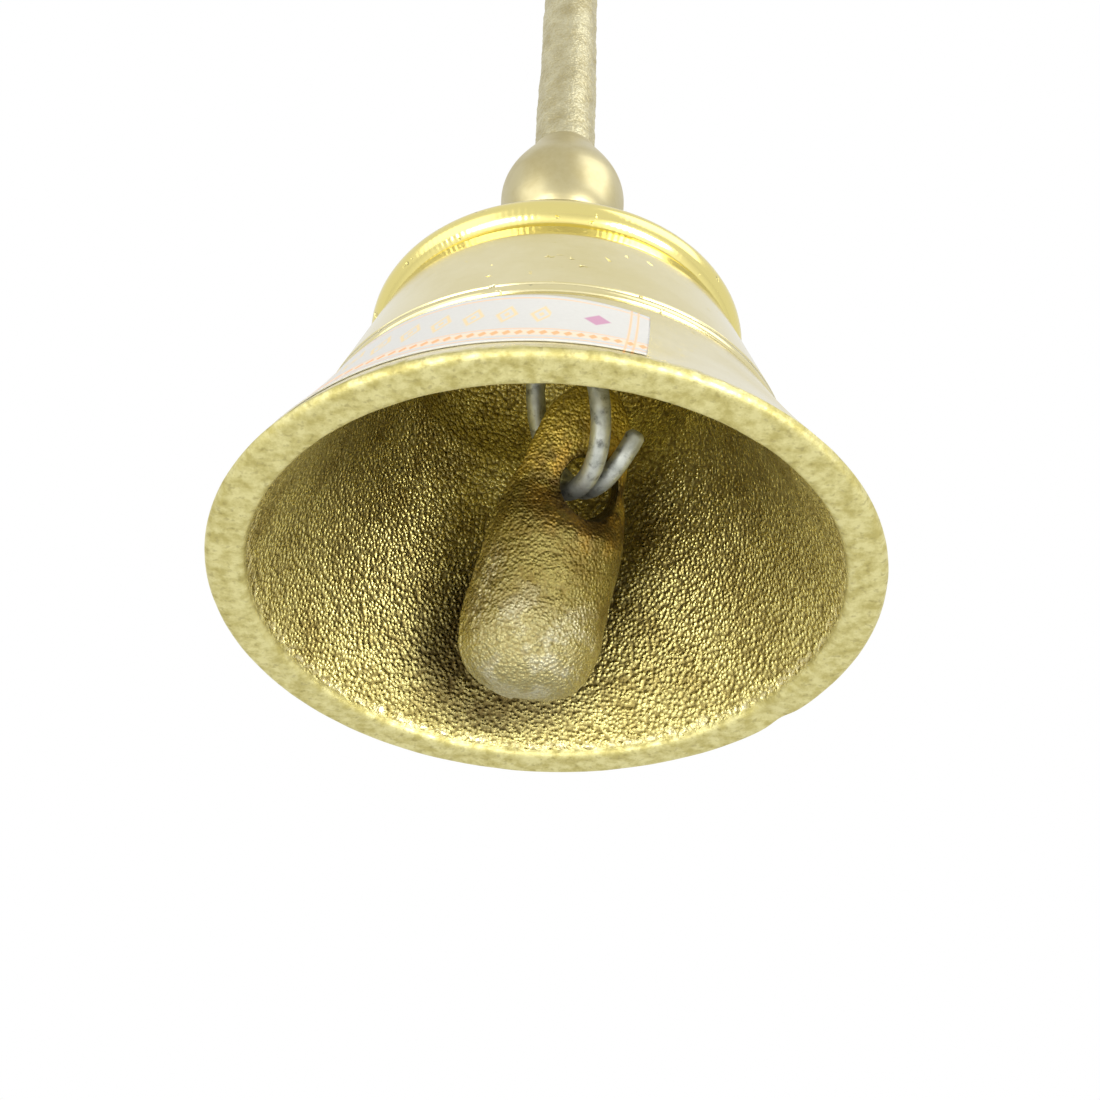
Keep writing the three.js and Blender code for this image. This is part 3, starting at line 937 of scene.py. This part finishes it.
stretched = add(tree, "ShaderNodeMapping")
stretched.inputs["Scale"].default_value = (1, 1, 40)
join(tree, place, stretched.inputs["Vector"])
lathe_lines = noise(tree, stretched.outputs["Vector"], 90, 3)
pits = remap(tree, noise(tree, place, 700, 2), 0.70, 0.78, 0.0, -1.0)
polish_height = arithmetic(tree, "ADD", arithmetic(tree, "MULTIPLY", lathe_lines, 0.04), pits)
file_height = noise(tree, place, 1400, 5, 0.7)
split = tree.nodes.new("ShaderNodeSeparateXYZ")
join(tree, place, split.inputs[0])
round_angle = arithmetic(tree, "ARCTAN2", split.outputs["Y"], split.outputs["X"])
teeth = arithmetic(tree, "SINE", arithmetic(tree, "MULTIPLY", round_angle, CHATTER_MARKS), 0.0)
teeth = arithmetic(tree, "MULTIPLY", teeth, attribute(tree, "chatter"))
uneven = remap(tree, noise(tree, place, 170, 3), 0.45, 0.70, 0.0, 0.06)
polish_height = arithmetic(tree, "ADD", polish_height, arithmetic(tree, "MULTIPLY", teeth, uneven))
file_height = arithmetic(tree, "MULTIPLY", file_height, 0.3)
metal_height = mix_value(tree, lip_here, polish_height, file_height)
bell_height = mix_value(tree, cast_here, metal_height, grain_height)
bump(tree, shader, bell_height, 1.0, 0.22 * MM)
bell.data.materials.append(bell_brass)
print("bell brass has", len(tree.nodes), "nodes")

# %% [markdown]
# ### Turned collar
#
# The collar is turned like the bell but polished less, so its shine is broad and soft.

# %% Collar brass
collar_brass, tree, shader = new_finish("collar_brass", Metallic=1.0)
place = object_place(tree)
colour, smear = tarnish(tree, 180, 0.42, (0.59, 0.525, 0.30), (0.50, 0.43, 0.22))
join(tree, colour, shader.inputs["Base Color"])
join(tree, remap(tree, smear, 0.0, 1.0, 0.34, 0.46), shader.inputs["Roughness"])
stretched = add(tree, "ShaderNodeMapping")
stretched.inputs["Scale"].default_value = (1, 1, 30)
join(tree, place, stretched.inputs["Vector"])
bump(tree, shader, noise(tree, stretched.outputs["Vector"], 150, 3), 0.25, 0.05 * MM)
collar.data.materials.append(collar_brass)

# %% [markdown]
# ### Rough stem
#
# The stem was never polished. Its skin is pale and greyish, browner in the hollows.

# %% Stem brass
stem_brass, tree, shader = new_finish("stem_brass", Metallic=1.0)
colour = tarnish(tree, 260, 0.42, (0.63, 0.585, 0.385), (0.47, 0.415, 0.235))[0]
height, hollow = cast_grain(tree, 3000, 0.5)
colour = blend(tree, remap(tree, hollow, 0.3, 1.0, 0.0, 0.35), colour, (0.36, 0.30, 0.14))
join(tree, colour, shader.inputs["Base Color"])
join(tree, remap(tree, hollow, 0.0, 1.0, 0.36, 0.6), shader.inputs["Roughness"])
bump(tree, shader, height, 0.6, 0.10 * MM)
handle.data.materials.append(stem_brass)

# %% [markdown]
# ### Clapper brass
#
# The clapper is the dullest brass. It is brown and orange round the hole, where the wire rubs, and
# paler towards its foot. The distance from the hole was kept on the mesh, so the stain can follow
# it, and object height finds the foot. A noise frays both.

# %% Clapper brass
clapper_brass, tree, shader = new_finish("clapper_brass", Metallic=1.0)
place = object_place(tree)
colour = tarnish(tree, 300, 0.44, (0.26, 0.22, 0.072), (0.17, 0.128, 0.034))[0]
worn = remap(tree, noise(tree, place, 330, 5), 0.50, 0.62, 0.0, 0.6)
split = tree.nodes.new("ShaderNodeSeparateXYZ")
join(tree, place, split.inputs[0])
frayed = arithmetic(tree, "MULTIPLY", noise(tree, place, 260, 4), 9 * MM)
level = arithmetic(tree, "SUBTRACT", split.outputs["Z"], frayed)
bright_lug = remap(tree, level, 13 * MM, 19 * MM, 0.0, 0.85)
colour = blend(tree, bright_lug, colour, (0.62, 0.49, 0.11))
pale_foot = remap(tree, level, 1 * MM, 5 * MM, 0.85, 0.0)
foot_colour = blend(tree, worn, (0.38, 0.34, 0.16), (0.58, 0.56, 0.42))
colour = blend(tree, pale_foot, colour, foot_colour)
near_hole = remap(tree, attribute(tree, "from_hole"), 4.0 * MM, 8.5 * MM, 1.0, 0.0)
orange = remap(tree, noise(tree, place, 380, 3), 0.42, 0.58, 0.0, 0.6)
colour = blend(tree, arithmetic(tree, "MULTIPLY", near_hole, orange), colour, (0.62, 0.34, 0.06))
specks = remap(tree, noise(tree, place, 1100, 4), 0.48, 0.58, 0.0, 0.8)
speckled = blend(tree, specks, (0.20, 0.17, 0.09), (0.58, 0.54, 0.34))
colour = blend(tree, attribute(tree, "flash"), colour, speckled)
burnt = remap(tree, noise(tree, place, 520, 5), 0.46, 0.60, 0.0, 0.9)
colour = blend(tree, arithmetic(tree, "MULTIPLY", near_hole, burnt), colour, (0.12, 0.07, 0.025))
# Painted shade: the inside of the hole is darkened almost to black, as the shadow in it.
hole_shade = remap(tree, attribute(tree, "from_hole"), 3.5 * MM, 4.6 * MM, 0.85, 0.0)
colour = blend(tree, hole_shade, colour, (0.045, 0.03, 0.012))
height, hollow = cast_grain(tree, 2700, 0.5)
colour = blend(tree, remap(tree, hollow, 0.3, 1.0, 0.0, 0.4), colour, (0.26, 0.19, 0.06))
join(tree, colour, shader.inputs["Base Color"])
join(tree, remap(tree, hollow, 0.0, 1.0, 0.30, 0.55), shader.inputs["Roughness"])
bump(tree, shader, height, 0.9, 0.18 * MM)
clapper.data.materials.append(clapper_brass)

# %% [markdown]
# ### Zinc
#
# Hot-dipped wire is a dull blue grey with soft patches of zinc, and darker where pliers gripped it.

# %% Zinc
zinc_finish, tree, shader = new_finish("zinc_wire", Metallic=1.0)
colour, patch = tarnish(tree, 420, 0.44, (0.60, 0.62, 0.58), (0.44, 0.46, 0.43))
marked = tarnish(tree, 900, 0.30, (1, 1, 1), (0, 0, 0))[1]
colour = blend(tree, marked, colour, (0.10, 0.10, 0.09))
join(tree, colour, shader.inputs["Base Color"])
join(tree, remap(tree, patch, 0.0, 1.0, 0.52, 0.66), shader.inputs["Roughness"])
place = object_place(tree)
bump(tree, shader, noise(tree, place, 1500, 4), 0.35, 0.06 * MM)
wire.data.materials.append(zinc_finish)

# %% [markdown]
# ### Bolt steel
#
# The eye, its shank, the nut and the washer are plain mild steel, with a brown bloom of rust.

# %% Bolt steel
bolt_steel, tree, shader = new_finish("bolt_steel", Metallic=1.0)
colour, rust = tarnish(tree, 500, 0.44, (0.42, 0.42, 0.40), (0.22, 0.16, 0.11))
join(tree, colour, shader.inputs["Base Color"])
join(tree, remap(tree, rust, 0.0, 1.0, 0.34, 0.6), shader.inputs["Roughness"])
bump(tree, shader, noise(tree, object_place(tree), 1200, 4), 0.3, 0.05 * MM)
for steel_piece in (eye, shank, frame["nodes"]["crown_nut"], frame["nodes"]["crown_washer"]):
    steel_piece.data.materials.clear()
    steel_piece.data.materials.append(bolt_steel)

# %% [markdown]
# ### Printed paper
#
# The print is drawn with arithmetic on the UV map, which is in millimetres. A frame of thin orange
# lines runs round the edge, a band of small leaves fills the foot, and a row of plain lozenges
# stands where a label would have its words. Each is a larger diamond less a smaller one, which
# leaves its outline, and a pink one closes the row.


# %% Printed paper
def stripe(tree, coordinate, middle, half_width):
    """One inside a stripe, and zero outside, with an edge a tenth of a millimetre soft."""
    gap = arithmetic(tree, "ABSOLUTE", arithmetic(tree, "SUBTRACT", coordinate, middle), 0.0)
    return remap(tree, gap, half_width - 0.04, half_width + 0.06, 1.0, 0.0)


def repeat(tree, coordinate, pitch):
    """The coordinate measured from the middle of each repeat."""
    shifted = arithmetic(tree, "ADD", coordinate, pitch / 2)
    return arithmetic(tree, "SUBTRACT", arithmetic(tree, "FLOORED_MODULO", shifted, pitch), pitch / 2)


def lozenge(tree, across_it, up_it, half_width, half_height):
    """One inside a diamond: the two distances, each as a share of its half size, add up to one."""
    wide = arithmetic(tree, "DIVIDE", arithmetic(tree, "ABSOLUTE", across_it, 0.0), half_width)
    tall = arithmetic(tree, "DIVIDE", arithmetic(tree, "ABSOLUTE", up_it, 0.0), half_height)
    return remap(tree, arithmetic(tree, "ADD", wide, tall), 0.9, 1.1, 1.0, 0.0)


label_paper, tree, shader = new_finish("label_paper", Metallic=0.0, Roughness=0.55)
uv = tree.nodes.new("ShaderNodeUVMap")
uv.uv_map = "print"
split = tree.nodes.new("ShaderNodeSeparateXYZ")
join(tree, uv.outputs["UV"], split.inputs[0])
along_paper, up_paper = split.outputs["X"], split.outputs["Y"]
length_mm = label_length / MM

fibres = noise(tree, object_place(tree), 2500, 4)
colour = blend(tree, fibres, (0.57, 0.56, 0.525), (0.63, 0.62, 0.585))

band = stripe(tree, up_paper, 2.3, 0.75)
leaf_row = arithmetic(tree, "SUBTRACT", up_paper, 2.3)
leaves = lozenge(tree, repeat(tree, along_paper, 1.1), leaf_row, 0.42, 0.7)
colour = blend(tree, arithmetic(tree, "MULTIPLY", band, 0.6), colour, (0.90, 0.66, 0.42))
colour = blend(tree, arithmetic(tree, "MULTIPLY", leaves, 0.8), colour, (0.80, 0.36, 0.12))

lines = stripe(tree, up_paper, 0.75, 0.10)
for height in (3.4, 11.6):
    lines = arithmetic(tree, "MAXIMUM", lines, stripe(tree, up_paper, height, 0.10))
for edge_line in (1.2, length_mm - 1.9, length_mm - 1.2):
    lines = arithmetic(tree, "MAXIMUM", lines, stripe(tree, along_paper, edge_line, 0.10))
colour = blend(tree, arithmetic(tree, "MULTIPLY", lines, 0.8), colour, (0.84, 0.50, 0.26))

centre_row = arithmetic(tree, "SUBTRACT", up_paper, 7.4)
row_extent = stripe(tree, along_paper, length_mm / 2 - 1.5, length_mm / 2 - 8)
across_gem = repeat(tree, along_paper, 3.4)
gems = lozenge(tree, across_gem, centre_row, 1.15, 2.2)
gems = arithmetic(tree, "SUBTRACT", gems, lozenge(tree, across_gem, centre_row, 0.75, 1.5))
gems = arithmetic(tree, "ADD", gems, lozenge(tree, across_gem, centre_row, 0.3, 0.6))
gems = arithmetic(tree, "MULTIPLY", gems, row_extent)
colour = blend(tree, arithmetic(tree, "MULTIPLY", gems, 0.75), colour, (0.78, 0.58, 0.26))
flower = lozenge(tree, arithmetic(tree, "SUBTRACT", along_paper, length_mm - 5.0), centre_row, 1.3, 1.5)
colour = blend(tree, arithmetic(tree, "MULTIPLY", flower, 0.8), colour, (0.50, 0.18, 0.34))
join(tree, colour, shader.inputs["Base Color"])
bump(tree, shader, fibres, 0.15, 0.02 * MM)
label.data.materials.append(label_paper)
print("label is", round(length_mm, 1), "mm long")

# %% [markdown]
# ## Studio
#
# The bell is held up in a white tent and seen from below its mouth, so the floor is a pale sheet
# well under the camera. The world gives even light from all round, which is what makes polished
# brass look pale, and four soft lamps model the shapes. The tent's cloth is drawn white where it
# is seen directly, and lights the bell a little less, so that the paper label isn't washed out.

# %% Floor and light
floor_size = 3.0
bpy.ops.mesh.primitive_plane_add(size=floor_size, location=(0, 0, -0.32))
floor = bpy.context.object
floor.name = "studio_floor"
floor_paint, tree, shader = new_finish("floor_paint", Base_Color=(0.9, 0.9, 0.89, 1), Roughness=0.8)
floor.data.materials.append(floor_paint)

TENT_LIGHT = 0.88
world = bpy.data.worlds.new("white_tent")
bpy.context.scene.world = world
world.use_nodes = True
background = world.node_tree.nodes["Background"]
background.inputs["Color"].default_value = (1, 1, 1, 1)
paths = world.node_tree.nodes.new("ShaderNodeLightPath")
seen = remap(world.node_tree, paths.outputs["Is Camera Ray"], 0.0, 1.0, TENT_LIGHT, 1.0)
join(world.node_tree, seen, background.inputs["Strength"])


def add_lamp(name, place, size, power):
    """A square soft box at a place, aimed at the bell's middle."""
    data = bpy.data.lights.new(name, "AREA")
    data.size = size
    data.energy = power
    lamp = bpy.data.objects.new(name, data)
    lamp.location = place
    lamp.rotation_euler = (Vector((0, 0, 0.04)) - Vector(place)).to_track_quat("-Z", "Y").to_euler()
    bpy.context.scene.collection.objects.link(lamp)
    return lamp


add_lamp("key_right", (0.45, -0.30, 0.40), 0.50, 1.2)
add_lamp("fill_left", (-0.50, -0.35, 0.10), 0.50, 0.8)
add_lamp("below_right", (0.30, -0.30, -0.26), 0.26, 2.0)
add_lamp("below_left", (-0.26, -0.32, -0.26), 0.26, 1.2)

# %% [markdown]
# ## Camera
#
# The camera stands 37 degrees below the plane of the mouth, five mouth radii away, and looks up at
# a point just inside the mouth. It is rolled a little, because the bell hangs a little out of true.

# %% Camera
below = math.radians(37.2)
distance = 5 * mouth_radius
camera_data = bpy.data.cameras.new("camera")
camera_data.lens = 55.5
camera_data.clip_start = 0.01
camera = bpy.data.objects.new("camera", camera_data)
camera.location = (0, -distance * math.cos(below), -distance * math.sin(below))
target = Vector((0.3 * MM, 0, 5.9 * MM))
aim = (target - camera.location).to_track_quat("-Z", "Y").to_matrix()
roll = Matrix.Rotation(math.radians(2.46), 3, "Z")
camera.rotation_euler = (aim @ roll).to_euler()
bpy.context.scene.collection.objects.link(camera)
bpy.context.scene.camera = camera
bpy.context.scene.view_settings.view_transform = "Standard"

# %% [markdown]
# ## Finish
#
# The view layer is brought up to date.

# %% Finish
bpy.context.view_layer.update()
